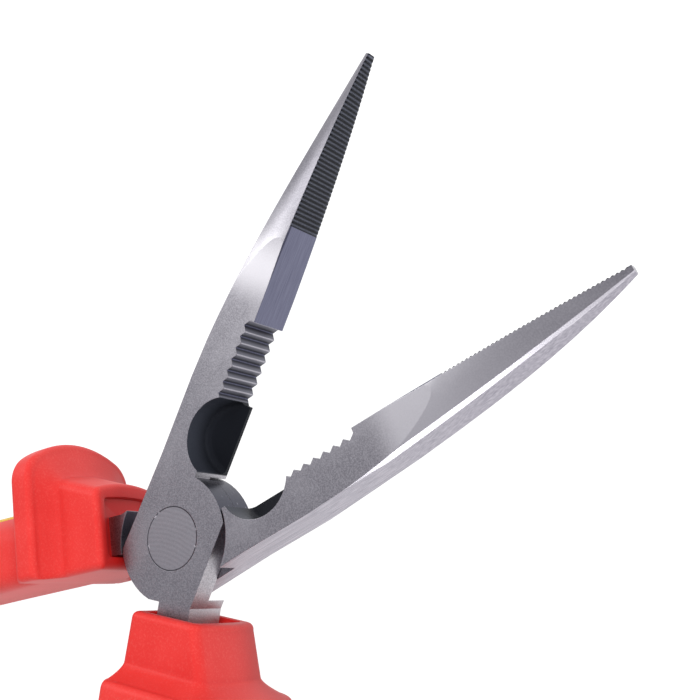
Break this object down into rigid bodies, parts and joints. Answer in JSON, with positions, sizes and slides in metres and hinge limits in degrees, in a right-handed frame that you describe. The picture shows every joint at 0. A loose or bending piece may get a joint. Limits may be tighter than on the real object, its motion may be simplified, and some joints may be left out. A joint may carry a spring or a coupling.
{
  "type": "insulated long-nose pliers",
  "caption": "Insulated long-nose pliers with side cutters, a pipe grip, a flush rivet, and red guarded grips with yellow palm inlays, shown open",
  "frame": {"origin": "the rivet axis where it leaves the rear face of the head", "axes": "+Z along the rivet towards the front lever, +Y along the nose halfway between the open jaws, +X to the side of the rear lever's jaw"},
  "size_m": [0.1346, 0.1873, 0.026],
  "materials": {
    "jaw_steel": "satin ground steel",
    "rivet_steel": "face-ground steel",
    "grip_plastic": "satin moulded, coral red",
    "sleeve_plastic": "matt moulded, yellow",
    "inlay_plastic": "satin moulded, yellow"
  },
  "bodies": {
    "rear_half": {"lever_rear": "jaw_steel", "pivot_rivet": "rivet_steel", "sleeve_rear": "sleeve_plastic", "grip_rear": "grip_plastic", "inlay_rear": "inlay_plastic"},
    "front_half": {"lever_front": "jaw_steel", "sleeve_front": "sleeve_plastic", "grip_front": "grip_plastic", "inlay_front": "inlay_plastic"}
  },
  "joints": [
    {"name": "pivot", "type": "hinge", "parent": "rear_half", "child": "front_half", "pos_m": [0, 0, 0.0041], "axis": [0, 0, 1], "range_deg": [-40.2, 19]}
  ]
}
